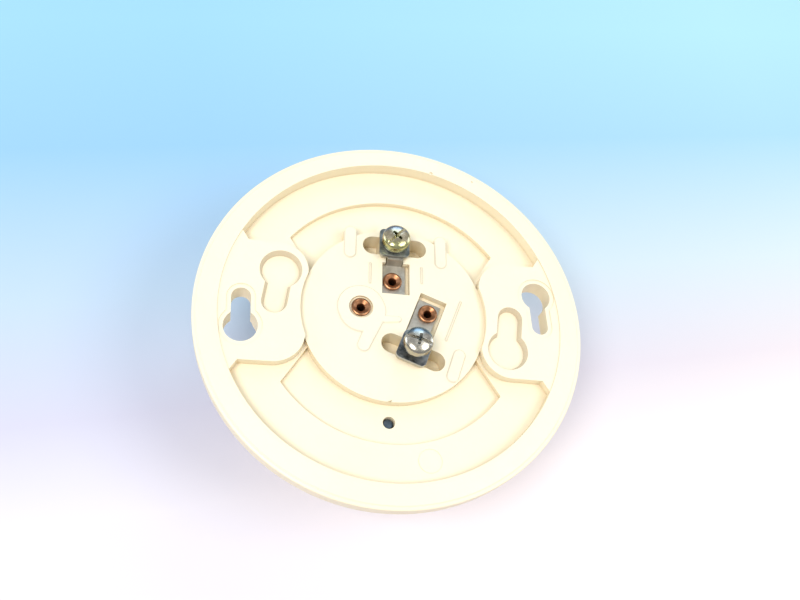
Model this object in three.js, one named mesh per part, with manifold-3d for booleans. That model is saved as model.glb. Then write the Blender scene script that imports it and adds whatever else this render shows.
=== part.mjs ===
// Mechanical heat detector: a round moulded base that screws to an electrical box, two wiring
// terminals on its back, a rate-of-rise air chamber and a fusible fixed-temperature element in front.
// Millimetres, +Z up towards the ceiling. The origin is the centre of the mounting plane.
import * as THREE from 'three';
import { mergeVertices } from 'three/addons/utils/BufferGeometryUtils.js';
import Module from 'manifold-3d';

const wasm = await Module();
wasm.setup();

// ---------------------------------------------------------------- driving dimensions
const BASE_RADIUS = 57.15;            // 4.5 inch disc
const BASE_FRONT = -6.5;              // front face of the thin outer flange
const HUB_FRONT = -8.4;               // front face of the thicker middle
const LAND_INNER = 50.3;              // inside edge of the rim, the highest ring of the back
const LAND_OUTER = 51.3;
const RIM_CORNER = 56.5;
const RIM_DROP = 0.8;                 // the rim band slopes down this far to its outer corner
const PAD_TOP = -0.3;
const PAD_HALF_WIDTH = 18.6;
const PAD_CORNER = 8.8;
const SCREW_SPACING_WIDE = 88.9;      // 3.5 inch box screws
const SCREW_SPACING_NARROW = 69.85;   // 2.75 inch box screws
const ISLAND_RADIUS = 27.4;
const ISLAND_TOP = -2.2;
const SECTOR_RADIUS = 39;             // outer edge of the two deeper sectors round the island
const SECTOR_ANGLE = 36.3;
const UPPER_FLOOR = -4.4;
const UPPER_SECTOR_FLOOR = -6.3;
const LOWER_FLOOR = -3.5;
const LOWER_SECTOR_FLOOR = -5.4;
const COLLAR_INNER = 34.2;            // front collar that carries the diaphragm and the shell
const COLLAR_OUTER = 37.3;
const COLLAR_END = -16;
const KEYHOLE_DEPTH = 2;              // blind keyholes
const KEYHOLE_DRAFT = 0.8;
const LIP_WIDTH = 1.3;                // shallow step round each through keyhole
const LIP_DEPTH = 0.25;
const RIB_HEIGHT = 0.35;
const ROUND = 64;                     // facets round the large circles
const ABOVE = 1;                      // cuts from the back start here, clear of the surface
const BELOW = -11.4;                  // and through holes end here, in front of the hub

const SLOT_SPACING = 13.55;           // wire slot: two round ends this far apart
const SLOT_RADIUS = 3;
const SLOT_FLOOR = -9.1;
const SLOT_WALL = 1.6;
const SEAT_HALF = 4;                  // square seat under the terminal plate
const SEAT_TOP = -1.5;
const POCKET_FLOOR = -4.7;
const POCKET_SPARE = 0.9;             // extra room along one side of the strip
const STRIP_TOP = -3.6;
const STRIP_THICKNESS = 0.8;
const STRIP_WIDTH = 6.8;
const STRIP_SHIFT = 0.5;              // the strip stands this far to one side of the screw
const TAIL_START = -5.7;              // where the strip narrows to its riser
const TAIL_OVERHANG = 3.8;            // from the eyelet's centre to the strip's end
const RISER_BACK = -5;
const NECK_WIDTH = 4.7;
const PLATE_TOP = -0.4;
const PLATE_SIZE = 8.8;
const PLATE_CORNER = 1.2;
const CLAMP_BOTTOM = -0.1;
const CLAMP_THICKNESS = 0.8;
const CLAMP_SIZE = 9.1;
const CLAMP_CORNER = 1.4;
const LOCK_THICKNESS = 0.6;
const LOCK_RADIUS = 3.85;
const LOCK_SPLIT = 0.7;
const HEAD_SIDE = 1.9;
const HEAD_RADIUS = 4.15;
const HEAD_CROWN = 1.6;
const CROWN_STEPS = 4;
const DRIVE_SLOT = { width: 1.2, depth: 1.2 };
const DRIVE_CROSS = { half: 1.8, width: 1, depth: 2 };
const SHANK_RADIUS = 2;
const SHANK_LENGTH = 8.9;
const SHANK_CHAMFER = 0.5;
const SCREW_CLEARANCE = 2.35;

const EYELET_HEAD = 2.85;
const EYELET_TUBE = 1.4;
const EYELET_BORE = 1;
const EYELET_HOLE = 1.7;
const EYELET_FLANGE = 2.5;
const COUNTERBORE_RADIUS = 3.55;      // round the eyelet that holds no strip
const COUNTERBORE_DEPTH = 0.6;
const RELIEF_RADIUS = 2.4;            // room over the adjusting screw's head
const RELIEF_TOP = -5.5;
const LEAF_TOP = -8.7;                // leaves inside lie against the front of the hub
const LEAF_THICKNESS = 0.35;
const LEAF_WIDTH = 5;
const LEAF_LEVEL = -12.05;            // upper face of the moving leaf where it crosses the centre
const BRACKET_THICKNESS = 0.6;        // stiff leaves: the fixed bracket and the back stop
const GAP = 0.3;                      // clearance between pieces that touch

const SHELL_RADIUS = 38.6;
const SHELL_WALL = 0.9;
const SHELL_SKIRT = -10.5;
const SHELL_LEDGE = -18;
const DOME_RADIUS = 35.4;
const DOME_END = -34.2;
const GUIDE_HOLE = 5.5;
const COLLECTOR_RADIUS = 13;
const COLLECTOR_END = -40.8;

// Places on the back. A terminal's own axes have the screw at the origin and the strip along -Y.
// Head is the underside of the screw's head: the upper screw is driven further in than the lower.
const TERMINALS = {
  upper: {
    screw: [-0.4, 21.9], head: 1.9, drive: 48, turn: 0,
    slot: [0.14, 22], eyelet: 11.3, pocketEnd: 15.8, spareSide: 1,
  },
  lower: {
    screw: [5.5, -11.8], head: 4, drive: -175, turn: 159.5,
    slot: [5.6, -12], eyelet: 13.5, pocketEnd: 18.8, spareSide: -1,
  },
};
const BARE_EYELET = [-9.8, 0.9];
const VENT = { place: [-0.8, -32.3], radius: 1.75 };
const THROUGH_REACH = SCREW_SPACING_WIDE / 2;
const THROUGH_KEYHOLES = {
  left: { big: [-43.4, -8.6], bigRadius: 4.75, small: [0.5 - THROUGH_REACH, 0.2], smallRadius: 2.75 },
  right: { big: [43.6, 8.6], bigRadius: 4.5, small: [THROUGH_REACH - 0.3, -1.4], smallRadius: 2.5 },
};
const BLIND_REACH = SCREW_SPACING_NARROW / 2;
const BLIND_KEYHOLES = {
  left: { big: [-33.5, 9.9], bigRadius: 6.1, small: [0.2 - BLIND_REACH, -0.4], smallRadius: 3.7 },
  right: { big: [33.5, -9.9], bigRadius: 6.1, small: [BLIND_REACH - 0.1, 0.3], smallRadius: 3.8 },
};

// ---------------------------------------------------------------- materials
const look = (color, roughness, metalness) => new THREE.MeshStandardMaterial({ color, roughness, metalness });
const LOOKS = {
  ivory: look(0xf6f0d8, 0.45, 0),
  paintedShell: look(0xf1ecdb, 0.4, 0.1),
  nickel: look(0x8f8d86, 0.4, 1),
  zinc: look(0xb9bcbc, 0.3, 1),
  yellowZinc: look(0xa9a37c, 0.35, 1),
  copper: look(0xb8743f, 0.3, 1),
  bronze: look(0xb08a52, 0.35, 1),
  brass: look(0xc2a254, 0.3, 1),
  silver: look(0xd8d6d0, 0.25, 1),
  aluminium: look(0xc9cbcc, 0.4, 1),
  solder: look(0x9a9a98, 0.5, 1),
  steel: look(0x9b9b9b, 0.35, 1),
  rubber: look(0x2b2b2b, 0.8, 0),
  phenolic: look(0x5a3a24, 0.6, 0),
};

// ---------------------------------------------------------------- solid helpers
function toSolid(geometry) {
  const bare = geometry.clone();
  bare.deleteAttribute('normal');
  bare.deleteAttribute('uv');
  const merged = mergeVertices(bare, 1e-4);
  const source = merged.index.array;
  const triangles = [];
  for (let i = 0; i < source.length; i += 3) {
    const [a, b, c] = [source[i], source[i + 1], source[i + 2]];
    if (a !== b && b !== c && c !== a) triangles.push(a, b, c);
  }
  const vertProperties = merged.attributes.position.array;
  const triVerts = new Uint32Array(triangles);
  return new wasm.Manifold(new wasm.Mesh({ numProp: 3, vertProperties, triVerts }));
}

function toGeometry(solid) {
  const mesh = solid.getMesh();
  const geometry = new THREE.BufferGeometry();
  geometry.setAttribute('position', new THREE.BufferAttribute(mesh.vertProperties, 3));
  geometry.setIndex(new THREE.BufferAttribute(mesh.triVerts, 1));
  geometry.computeVertexNormals();
  return geometry;
}

const joined = (first, ...rest) => rest.reduce((whole, part) => whole.add(part), first);
const cutBy = (first, ...rest) => rest.reduce((whole, part) => whole.subtract(part), first);

// Turns an outline of [radius, z] points, anticlockwise with the radius to the right, into a solid.
function turned(outline, segments) {
  const points = outline.map(([radius, z]) => new THREE.Vector2(radius, z));
  const closed = outline[0][0] === 0 && outline.at(-1)[0] === 0;
  if (!closed) points.push(points[0].clone());
  const geometry = new THREE.LatheGeometry(points, segments);
  geometry.rotateX(Math.PI / 2);
  return toSolid(geometry);
}

// Extrudes a shape drawn in XY from one height to another.
function prism(shape, bottom, top, curveSegments = 6) {
  const settings = { depth: top - bottom, bevelEnabled: false, curveSegments };
  const geometry = new THREE.ExtrudeGeometry(shape, settings);
  geometry.translate(0, 0, bottom);
  return toSolid(geometry);
}

// The cut of a blind keyhole: its walls lean in towards the floor.
function draftedPrism(shape) {
  const options = { depth: ABOVE - PAD_TOP, bevelThickness: KEYHOLE_DEPTH, bevelSize: KEYHOLE_DRAFT };
  const settings = { ...options, bevelOffset: -KEYHOLE_DRAFT, bevelSegments: 1, curveSegments: 5 };
  const geometry = new THREE.ExtrudeGeometry(shape, settings);
  geometry.translate(0, 0, PAD_TOP);
  return toSolid(geometry);
}

function disc(radius, bottom, top, place = [0, 0], segments = 32) {
  const geometry = new THREE.CylinderGeometry(radius, radius, top - bottom, segments);
  geometry.rotateX(Math.PI / 2);
  geometry.translate(place[0], place[1], (bottom + top) / 2);
  return toSolid(geometry);
}

function block(low, high) {
  const size = high.map((value, i) => value - low[i]);
  const geometry = new THREE.BoxGeometry(...size);
  geometry.translate(...low.map((value, i) => value + size[i] / 2));
  return toSolid(geometry);
}

// Extrudes an outline of [y, z] points along X, across a width centred on centreX.
function acrossX(outline, centreX, width) {
  const shape = new THREE.Shape(outline.map(([y, z]) => new THREE.Vector2(y, z)));
  const geometry = new THREE.ExtrudeGeometry(shape, { depth: width, bevelEnabled: false });
  geometry.translate(0, 0, centreX - width / 2);
  geometry.applyMatrix4(new THREE.Matrix4().set(0, 0, 1, 0, 1, 0, 0, 0, 0, 1, 0, 0, 0, 0, 0, 1));
  return toSolid(geometry);
}

const radians = THREE.MathUtils.degToRad;
const onCircle = (radius, degrees) => [Math.cos, Math.sin].map((ratio) => radius * ratio(radians(degrees)));

// Two circles of any size joined by their outer tangents: an oblong slot or rib.
function capsule(start, startRadius, end, endRadius) {
  const [dx, dy] = [end[0] - start[0], end[1] - start[1]];
  const heading = Math.atan2(dy, dx);
  const lean = Math.acos((startRadius - endRadius) / Math.hypot(dx, dy));
  const shape = new THREE.Shape();
  shape.absarc(start[0], start[1], startRadius, heading + lean, heading - lean + 2 * Math.PI, false);
  shape.absarc(end[0], end[1], endRadius, heading - lean, heading + lean, false);
  return shape;
}

// A keyhole: a big circle that meets a narrower straight slot with a round end.
function keyhole({ big, bigRadius, small, smallRadius }, grow) {
  const heading = Math.atan2(small[1] - big[1], small[0] - big[0]);
  const meet = Math.asin((smallRadius + grow) / (bigRadius + grow));
  const shape = new THREE.Shape();
  shape.absarc(big[0], big[1], bigRadius + grow, heading + meet, heading - meet + 2 * Math.PI, false);
  shape.absarc(small[0], small[1], smallRadius + grow, heading - Math.PI / 2, heading + Math.PI / 2, false);
  return shape;
}

function rectangle(width, height, corner, place = [0, 0]) {
  const [w, h] = [width / 2 - corner, height / 2 - corner];
  const shape = new THREE.Shape();
  shape.absarc(place[0] + w, place[1] + h, corner, 0, Math.PI / 2, false);
  shape.absarc(place[0] - w, place[1] + h, corner, Math.PI / 2, Math.PI, false);
  shape.absarc(place[0] - w, place[1] - h, corner, Math.PI, 1.5 * Math.PI, false);
  shape.absarc(place[0] + w, place[1] - h, corner, 1.5 * Math.PI, 2 * Math.PI, false);
  return shape;
}

// ---------------------------------------------------------------- terminal placing
// Carries a solid from a terminal's own axes to its place on the base.
function atTerminal(solid, terminal, place = terminal.screw) {
  return solid.rotate([0, 0, terminal.turn]).translate([place[0], place[1], 0]);
}

function eyeletPlace(terminal) {
  const [dx, dy] = onCircle(terminal.eyelet, terminal.turn - 90);
  return [terminal.screw[0] + dx, terminal.screw[1] + dy];
}

const EYELET_PLACES = [eyeletPlace(TERMINALS.upper), eyeletPlace(TERMINALS.lower), BARE_EYELET];

// ---------------------------------------------------------------- base moulding
function baseBlank() {
  const rimRound = [[BASE_RADIUS - 0.15, -1.25], [BASE_RADIUS, -1.8]];
  const frontRound = [[BASE_RADIUS, -5.2], [BASE_RADIUS - 0.45, -6.1], [BASE_RADIUS - 1.4, BASE_FRONT]];
  return turned([
    [0, HUB_FRONT],
    [COLLAR_INNER, HUB_FRONT],
    [COLLAR_INNER, COLLAR_END],
    [COLLAR_OUTER, COLLAR_END],
    [COLLAR_OUTER, HUB_FRONT],
    [COLLAR_OUTER + 3, HUB_FRONT],
    [COLLAR_OUTER + 3.6, BASE_FRONT],
    ...frontRound.reverse(),
    ...rimRound.reverse(),
    [RIM_CORNER, -RIM_DROP],
    [LAND_OUTER, 0],
    [0, 0],
  ], ROUND);
}

// The ground above the two pads, open towards the rim and the island, which trim it later.
function troughOutline() {
  const flare = [43.4, PAD_HALF_WIDTH + 0.1];
  const beyond = [48.5, 26.8];
  const cornerY = PAD_HALF_WIDTH - PAD_CORNER;
  const cornerX = Math.sqrt(ISLAND_RADIUS ** 2 - cornerY ** 2) + PAD_CORNER;
  const shape = new THREE.Shape();
  shape.moveTo(beyond[0], BASE_RADIUS);
  shape.lineTo(-beyond[0], BASE_RADIUS);
  shape.lineTo(-beyond[0], beyond[1]);
  shape.lineTo(-flare[0], flare[1]);
  shape.absarc(-cornerX, cornerY, PAD_CORNER, Math.PI / 2, 0, true);
  shape.absarc(cornerX, cornerY, PAD_CORNER, Math.PI, Math.PI / 2, true);
  shape.lineTo(flare[0], flare[1]);
  shape.lineTo(beyond[0], beyond[1]);
  return shape;
}

function sectorOutline() {
  const near = onCircle(ISLAND_RADIUS, 26.6);
  const corner = onCircle(SECTOR_RADIUS, SECTOR_ANGLE);
  const beyond = corner.map((value, i) => value + (value - near[i]) / 2);
  return new THREE.Shape([
    [near[0], near[1]], [beyond[0], beyond[1]], [beyond[0], BASE_RADIUS], [-beyond[0], BASE_RADIUS],
    [-beyond[0], beyond[1]], [-near[0], near[1]],
  ].map(([x, y]) => new THREE.Vector2(x, y)));
}

// A ring of ground between the island and an outer circle, kept only inside an outline.
function ground(outline, radius, floor, turn) {
  const island = disc(ISLAND_RADIUS, floor - 1, ABOVE + 1, [0, 0], ROUND);
  const ring = cutBy(disc(radius, floor, ABOVE, [0, 0], ROUND), island);
  return ring.intersect(prism(outline, floor - 1, ABOVE + 1).rotate([0, 0, turn]));
}

function backRecesses() {
  return [
    disc(LAND_INNER, PAD_TOP, ABOVE, [0, 0], ROUND),
    disc(ISLAND_RADIUS, ISLAND_TOP, ABOVE, [0, 0], ROUND),
    ground(troughOutline(), LAND_INNER, UPPER_FLOOR, 0),
    ground(sectorOutline(), SECTOR_RADIUS, UPPER_SECTOR_FLOOR, 0),
    ground(troughOutline(), LAND_INNER, LOWER_FLOOR, 180),
    ground(sectorOutline(), SECTOR_RADIUS, LOWER_SECTOR_FLOOR, 180),
  ];
}

function keyholeCuts() {
  const through = Object.values(THROUGH_KEYHOLES).flatMap((hole) => [
    prism(keyhole(hole, 0), BELOW, ABOVE, 5),
    prism(keyhole(hole, LIP_WIDTH), PAD_TOP - LIP_DEPTH, ABOVE, 5),
  ]);
  const blind = Object.values(BLIND_KEYHOLES).map((hole) => draftedPrism(keyhole(hole, 0)));
  return [...through, ...blind];
}

// Low raised ribs on the island and a round buttress behind the upper screw. The two upper ribs and
// the buttress run out past the island's edge and stand on the ground beside it.
function islandRibs() {
  const [wide, thin, boss] = [1.75, 0.28, 6.9];
  const foot = UPPER_SECTOR_FLOOR - 0.5;
  const ribs = [
    capsule([-13.5, 18.8], wide, [-13.5, 26], wide),
    capsule([14.4, 17.9], wide, [14.4, 25.4], wide),
    capsule([19.2, -12], wide, [17, -18.6], wide),
    capsule([20.2, 5.2], thin, [15.4, -7.4], thin),
    capsule([-7.3, 9.2], thin, [-7.3, 15.6], thin),
    capsule([8.4, 10.6], thin, [8.4, 15.6], thin),
    capsule(BARE_EYELET, boss, [BARE_EYELET[0] + 0.4, 0], boss),
    capsule([-5.2, -2.2], 2.2, [-8.8, -11], 1.8),
    capsule([-3, -2.4], 1.1, [1.2, -2.1], 0.9),
  ];
  const raised = ribs.map((shape) => prism(shape, foot, ISLAND_TOP + RIB_HEIGHT, 4));
  return [...raised, prism(capsule([-0.9, 20], 5.2, [-0.9, 25.1], 5.2), foot, ISLAND_TOP)];
}

function wireSlot(grow) {
  return capsule([-SLOT_SPACING / 2, 0], SLOT_RADIUS + grow, [SLOT_SPACING / 2, 0], SLOT_RADIUS + grow);
}

function slotBoss(terminal) {
  const boss = prism(wireSlot(SLOT_WALL), SLOT_FLOOR - SLOT_WALL, ISLAND_TOP - 1);
  return atTerminal(boss, terminal, terminal.slot);
}

function terminalSeat(terminal) {
  const seat = prism(rectangle(2 * SEAT_HALF, 2 * SEAT_HALF, 0.6), SLOT_FLOOR - 0.5, SEAT_TOP, 2);
  return atTerminal(seat, terminal);
}

// Pocket round a strip: wide over the tail, narrow where the riser climbs out of it.
function stripPocket(terminal) {
  const half = STRIP_WIDTH / 2 + GAP;
  const spare = half + POCKET_SPARE;
  const [left, right] = terminal.spareSide > 0 ? [-half, spare] : [-spare, half];
  const neck = NECK_WIDTH / 2 + GAP;
  const overTail = block(
    [left + STRIP_SHIFT, -terminal.pocketEnd, POCKET_FLOOR],
    [right + STRIP_SHIFT, TAIL_START + GAP, ABOVE],
  );
  const overNeck = block(
    [STRIP_SHIFT - neck, TAIL_START, POCKET_FLOOR],
    [STRIP_SHIFT + neck, GAP - SEAT_HALF, ABOVE],
  );
  return atTerminal(joined(overTail, overNeck), terminal);
}

function buildBase() {
  const terminals = Object.values(TERMINALS);
  const blank = cutBy(baseBlank(), ...backRecesses(), ...keyholeCuts());
  const ribbed = joined(blank, ...islandRibs(), ...terminals.map(slotBoss));
  const slots = terminals.map((terminal) => (
    atTerminal(prism(wireSlot(0), SLOT_FLOOR, ABOVE), terminal, terminal.slot)
  ));
  const seated = joined(cutBy(ribbed, ...slots), ...terminals.map(terminalSeat));
  const holes = [
    ...terminals.map(({ screw }) => disc(SHANK_RADIUS + 0.5, SLOT_FLOOR - 0.4, ABOVE, screw, 24)),
    ...EYELET_PLACES.map((place) => disc(EYELET_HOLE, BELOW, ABOVE, place, 24)),
    disc(COUNTERBORE_RADIUS, ISLAND_TOP - COUNTERBORE_DEPTH, ABOVE, BARE_EYELET, 32),
    disc(VENT.radius, BELOW, ABOVE, VENT.place, 24),
    disc(RELIEF_RADIUS, BELOW, RELIEF_TOP, [0, 0], 24),
  ];
  return cutBy(seated, ...terminals.map(stripPocket), ...holes);
}

// ---------------------------------------------------------------- terminals
// One bent strip: a tail with the eyelet hole, a narrower riser and a square plate under the screw.
function buildStrip(terminal) {
  const tailEnd = -terminal.eyelet - TAIL_OVERHANG;
  const riserFront = RISER_BACK - STRIP_THICKNESS;
  const plateEdge = 0.6 - PLATE_SIZE / 2;
  const plateBottom = PLATE_TOP - STRIP_THICKNESS;
  const tailBottom = STRIP_TOP - STRIP_THICKNESS;
  const tail = acrossX([
    [tailEnd, STRIP_TOP],
    [tailEnd, tailBottom],
    [TAIL_START, tailBottom],
    [TAIL_START, STRIP_TOP],
  ], STRIP_SHIFT, STRIP_WIDTH);
  const riser = acrossX([
    [riserFront - 0.3, STRIP_TOP],
    [riserFront - 0.3, tailBottom],
    [RISER_BACK, tailBottom],
    [RISER_BACK + 0.5, plateBottom],
    [plateEdge, plateBottom],
    [plateEdge, PLATE_TOP],
    [RISER_BACK - 0.2, PLATE_TOP],
    [riserFront, STRIP_TOP],
  ], STRIP_SHIFT, NECK_WIDTH);
  const plate = prism(rectangle(PLATE_SIZE, PLATE_SIZE, PLATE_CORNER), plateBottom, PLATE_TOP, 2);
  const screwHole = disc(SCREW_CLEARANCE, plateBottom - 1, ABOVE, [0, 0], 24);
  const eyeletHole = disc(EYELET_HOLE, tailBottom - 1, ABOVE, [0, -terminal.eyelet], 24);
  return atTerminal(cutBy(joined(tail, riser, plate), screwHole, eyeletHole), terminal);
}

function buildClampWasher(terminal) {
  const square = rectangle(CLAMP_SIZE, CLAMP_SIZE, CLAMP_CORNER);
  const plate = prism(square, CLAMP_BOTTOM, CLAMP_BOTTOM + CLAMP_THICKNESS, 3);
  return atTerminal(cutBy(plate, disc(SCREW_CLEARANCE, CLAMP_BOTTOM - 1, 2, [0, 0], 24)), terminal);
}

// Spring lock washer under the head, split on one side.
function buildLockWasher(terminal) {
  const top = terminal.head - GAP;
  const bottom = top - LOCK_THICKNESS;
  const ring = disc(LOCK_RADIUS, bottom, top, [0, 0], 32);
  const bore = disc(SCREW_CLEARANCE, bottom - 1, top + 1, [0, 0], 24);
  const split = block([-LOCK_SPLIT / 2, 0, bottom - 1], [LOCK_SPLIT / 2, LOCK_RADIUS + 1, top + 1]);
  return atTerminal(cutBy(ring, bore, split), terminal);
}

// Pan-head screw with a straight slot and a cross recess.
function buildTerminalScrew(terminal) {
  const bottom = terminal.head;
  const shoulder = bottom + HEAD_SIDE;
  const top = shoulder + HEAD_CROWN;
  const end = bottom - SHANK_LENGTH;
  const crown = [];
  for (let step = 0; step < CROWN_STEPS; step += 1) {
    const angle = (step / CROWN_STEPS) * Math.PI / 2;
    crown.push([HEAD_RADIUS * Math.cos(angle), shoulder + HEAD_CROWN * Math.sin(angle)]);
  }
  const body = turned([
    [0, end],
    [SHANK_RADIUS - SHANK_CHAMFER, end],
    [SHANK_RADIUS, end + SHANK_CHAMFER],
    [SHANK_RADIUS, bottom],
    [HEAD_RADIUS - 0.3, bottom],
    [HEAD_RADIUS, bottom + 0.3],
    ...crown,
    [0, top],
  ], 28);
  const { width, depth } = DRIVE_SLOT;
  const slot = block([-HEAD_RADIUS - 1, -width / 2, top - depth], [HEAD_RADIUS + 1, width / 2, top + 1]);
  const [long, short] = [DRIVE_CROSS.half, DRIVE_CROSS.width / 2];
  const cross = [[long, short], [short, long]].map(([x, y]) => (
    block([-x, -y, top - DRIVE_CROSS.depth], [x, y, top + 1])
  ));
  return atTerminal(cutBy(body, slot, ...cross).rotate([0, 0, terminal.drive]), terminal);
}

// Hollow rivet: a tube with a rolled head on the back and a rolled flange on the front.
function buildEyelet(place, headBottom) {
  const flangeTop = LEAF_TOP - LEAF_THICKNESS - GAP;
  const eyelet = turned([
    [EYELET_BORE, flangeTop - 0.45],
    [EYELET_BORE + 0.5, flangeTop - 0.65],
    [EYELET_FLANGE - 0.2, flangeTop - 0.5],
    [EYELET_FLANGE, flangeTop - 0.25],
    [EYELET_FLANGE - 0.2, flangeTop],
    [EYELET_TUBE, flangeTop],
    [EYELET_TUBE, headBottom],
    [EYELET_HEAD - 0.15, headBottom],
    [EYELET_HEAD, headBottom + 0.3],
    [EYELET_HEAD - 0.2, headBottom + 0.65],
    [EYELET_HEAD - 0.5, headBottom + 0.8],
    [EYELET_TUBE + 0.1, headBottom + 0.3],
    [EYELET_BORE, headBottom - 0.4],
  ], 20);
  return eyelet.translate([place[0], place[1], 0]);
}

// ---------------------------------------------------------------- contacts inside the hub
function buildContactSpring() {
  const [x, y] = EYELET_PLACES[0];
  const leaf = acrossX([
    [y - 3, LEAF_TOP],
    [4.6, LEAF_LEVEL],
    [-3.6, LEAF_LEVEL],
    [-3.6, LEAF_LEVEL - LEAF_THICKNESS],
    [4.4, LEAF_LEVEL - LEAF_THICKNESS],
    [y - 3.2, LEAF_TOP - LEAF_THICKNESS],
    [y + 3.4, LEAF_TOP - LEAF_THICKNESS],
    [y + 3.4, LEAF_TOP],
  ], x, LEAF_WIDTH);
  return cutBy(leaf, disc(EYELET_HOLE, LEAF_TOP - 2, LEAF_TOP + 1, [x, y], 20));
}

function buildMovingContact() {
  return turned([
    [0, LEAF_LEVEL + GAP],
    [1.3, LEAF_LEVEL + GAP],
    [1.3, LEAF_LEVEL + 0.7],
    [0.7, LEAF_LEVEL + 0.95],
    [0, LEAF_LEVEL + 1],
  ], 20);
}

function buildFixedContactBracket() {
  const [x, y] = EYELET_PLACES[1];
  const arm = capsule([x, y], 3.2, [0, 0], 2.6);
  const holes = [disc(EYELET_HOLE, LEAF_TOP - 2, 1, [x, y], 20), disc(1.3, LEAF_TOP - 2, 1, [0, 0], 20)];
  return cutBy(prism(arm, LEAF_TOP - BRACKET_THICKNESS, LEAF_TOP), ...holes);
}

// Adjustable contact: a slotted screw in the bracket whose silver tip faces the moving contact.
function buildAdjustingScrew() {
  const screw = turned([
    [0, -10.55], [0.8, -10.5], [1, -10.2], [1, -8.4], [1.7, -8.4], [1.7, -6.9], [0, -6.9],
  ], 20);
  return cutBy(screw, block([-2, -0.25, -7.4], [2, 0.25, -6]));
}

// Stiff finger under the moving leaf that sets how far it hangs.
function buildBackStop() {
  const [x, y] = BARE_EYELET;
  const [near, far, outer, inner] = [1.9, 3.9, -5.2, -4.6];
  const fingerTop = LEAF_LEVEL - LEAF_THICKNESS - GAP;
  const tail = prism(rectangle(6.4, 6.4, 1, [x, y]), LEAF_TOP - BRACKET_THICKNESS, LEAF_TOP, 2);
  const drop = block([outer, near, fingerTop - BRACKET_THICKNESS], [inner, far, LEAF_TOP]);
  const bridge = block([x + 2, near, LEAF_TOP - BRACKET_THICKNESS], [inner, far, LEAF_TOP]);
  const finger = block([outer, near, fingerTop - BRACKET_THICKNESS], [1.6, far, fingerTop]);
  return cutBy(joined(tail, bridge, drop, finger), disc(EYELET_HOLE, LEAF_TOP - 2, 1, [x, y], 20));
}

// ---------------------------------------------------------------- air chamber and fusible element
// Thin corrugated sheet held by its rim under the collar.
function buildDiaphragm() {
  const thickness = 0.3;
  const middle = COLLAR_END - GAP;
  const waves = [[12, 0], [17, 0.5], [22, -0.5], [27, 0.5], [32, 0]];
  const upper = [...waves, [36.8, 0]].map(([radius, rise]) => [radius, middle + rise]);
  const lower = upper.map(([radius, z]) => [radius, z - thickness]);
  return turned([[0, middle - thickness], ...lower, ...upper.reverse(), [0, middle]], 36);
}

function buildPusher() {
  const foot = COLLAR_END;
  const tip = LEAF_LEVEL - LEAF_THICKNESS - GAP;
  return turned([
    [0, foot], [4, foot], [4, foot + 0.6], [1.9, foot + 1.1], [1.3, foot + 1.6], [1.3, tip - 0.3], [1, tip],
    [0, tip],
  ], 24);
}

function buildGasket() {
  const top = COLLAR_END - 2 * GAP - 0.3;
  const bottom = SHELL_LEDGE + GAP;
  return turned([[34.4, bottom], [36.8, bottom], [36.8, top], [34.4, top]], 36);
}

function domeCurve(radius, start, end, flatRadius) {
  const steps = 6;
  const points = [];
  for (let step = 0; step <= steps; step += 1) {
    const angle = (step / steps) * Math.PI / 2;
    const spread = Math.cos(angle) ** 0.8;
    points.push([flatRadius + (radius - flatRadius) * spread, start + (end - start) * Math.sin(angle)]);
  }
  return points;
}

// Pressed shell: a skirt round the collar, a ledge under the gasket and a domed cup.
function buildShell() {
  const wall = SHELL_WALL;
  const flat = 11.5;
  const outside = domeCurve(DOME_RADIUS, SHELL_LEDGE - 1.6, DOME_END, flat);
  const inside = domeCurve(DOME_RADIUS - wall, SHELL_LEDGE - 1.4, DOME_END + wall, flat);
  return turned([
    [GUIDE_HOLE, DOME_END],
    ...outside.reverse(),
    [DOME_RADIUS + 0.3, SHELL_LEDGE - wall - 0.1],
    [DOME_RADIUS + 0.8, SHELL_LEDGE - wall],
    [SHELL_RADIUS - 0.7, SHELL_LEDGE - wall],
    [SHELL_RADIUS, SHELL_LEDGE - wall + 0.7],
    [SHELL_RADIUS, SHELL_SKIRT - 0.3],
    [SHELL_RADIUS - 0.3, SHELL_SKIRT],
    [SHELL_RADIUS - wall, SHELL_SKIRT],
    [SHELL_RADIUS - wall, SHELL_LEDGE],
    [DOME_RADIUS - wall, SHELL_LEDGE],
    ...inside,
    [GUIDE_HOLE, DOME_END + wall],
  ], 56);
}

function buildVentPlug() {
  const plug = turned([[0, -8.1], [1.4, -8.1], [1.4, -7], [1.1, -6.7], [0, -6.7]], 20);
  return plug.translate([VENT.place[0], VENT.place[1], 0]);
}

// Brass sleeve swaged through the middle of the shell. The plunger slides in it.
function buildGuide() {
  const flangeTop = DOME_END - GAP;
  return turned([
    [1.9, flangeTop - 1], [7.1, flangeTop - 1], [7.5, flangeTop - 0.6], [7.5, flangeTop],
    [5.2, flangeTop], [5.2, -23.9], [4.8, -23.5], [3.6, -23.5], [3.6, -33.5], [1.9, -33.5],
  ], 28);
}

function buildPlunger() {
  return turned([
    [0, -39.2], [1.5, -39.2], [1.5, -25], [3.2, -25], [3.2, -24], [1.6, -23.4], [1.6, -19], [1.2, -18.6],
    [0, -18.6],
  ], 24);
}

// Compression spring round the plunger, a round wire swept along a helix with flat-wound ends.
function buildPlungerSpring() {
  const [low, high, turns, coil, wire] = [-33.1, -25.4, 6, 2.6, 0.32];
  class Helix extends THREE.Curve {
    getPoint(t) {
      const angle = 2 * Math.PI * turns * t;
      const height = low + wire + (high - low - 2 * wire) * t;
      return new THREE.Vector3(coil * Math.cos(angle), coil * Math.sin(angle), height);
    }
  }
  const section = new THREE.Shape();
  section.absarc(0, 0, wire, 0, 2 * Math.PI, false);
  const options = { steps: 12 * turns, extrudePath: new Helix(), curveSegments: 2 };
  return toSolid(new THREE.ExtrudeGeometry(section, options));
}

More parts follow.
